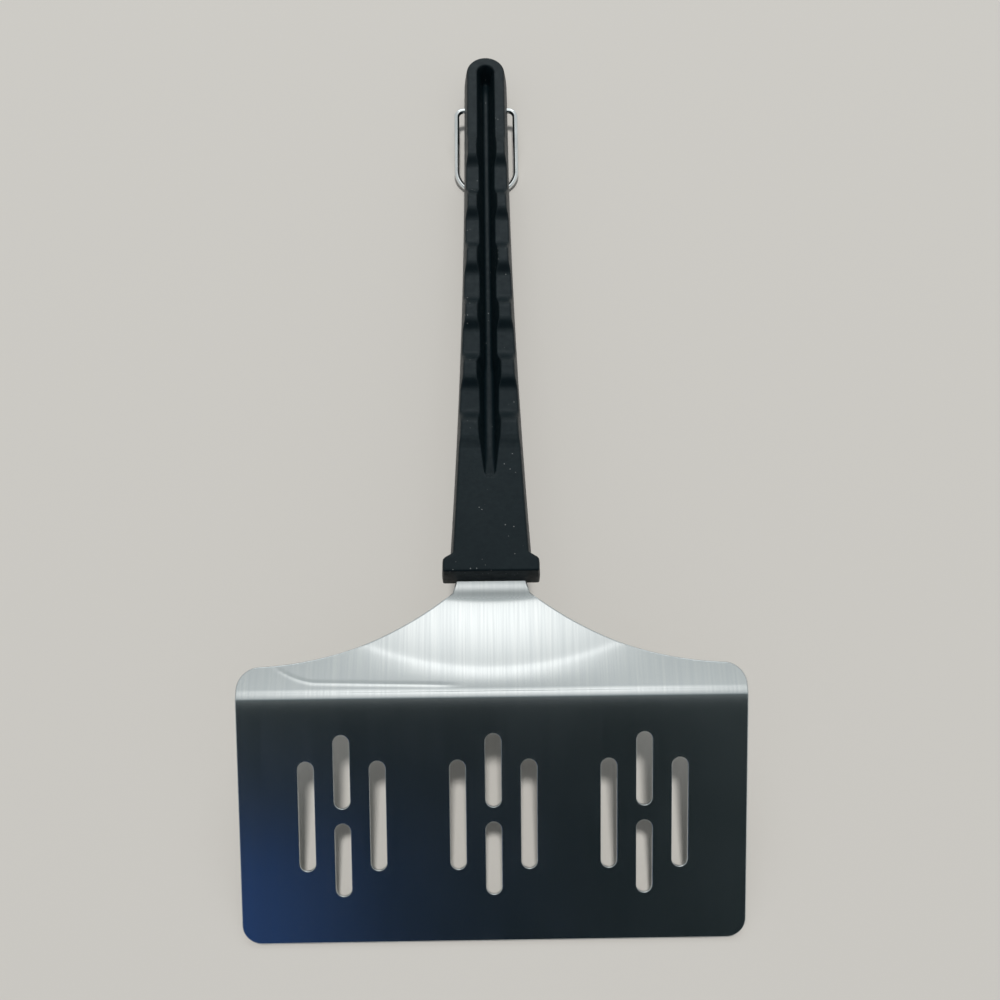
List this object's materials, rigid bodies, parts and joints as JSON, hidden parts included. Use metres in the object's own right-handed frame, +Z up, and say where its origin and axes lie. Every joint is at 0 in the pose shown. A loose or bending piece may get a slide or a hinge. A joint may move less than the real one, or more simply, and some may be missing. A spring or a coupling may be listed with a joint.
{
  "type": "grill spatula",
  "caption": "Wide slotted stainless grill spatula with a bent shoulder, a long cored plastic handle and a wire hanging loop that swings at its tip.",
  "frame": {"origin": "centre of the base of the bounding box, on the ground, with the spatula lying underside up", "axes": "+X across the blade, +Y from the blade's front edge to the handle's tip, +Z up"},
  "size_m": [0.203, 0.4208, 0.0518],
  "materials": {
    "steel": "stainless sheet brushed from the front edge to the neck",
    "plastic": "moulded, fine matte grain",
    "wire": "bright drawn wire"
  },
  "bodies": {
    "spatula": {"blade": "steel", "handle": "plastic"},
    "loop": {"hang_loop": "wire"}
  },
  "joints": [
    {"name": "loop_swing", "type": "hinge", "parent": "spatula", "child": "loop", "pos_m": [0, 0.18185, 0.01025], "axis": [1, 0, 0], "range_deg": [-8, 324]}
  ]
}
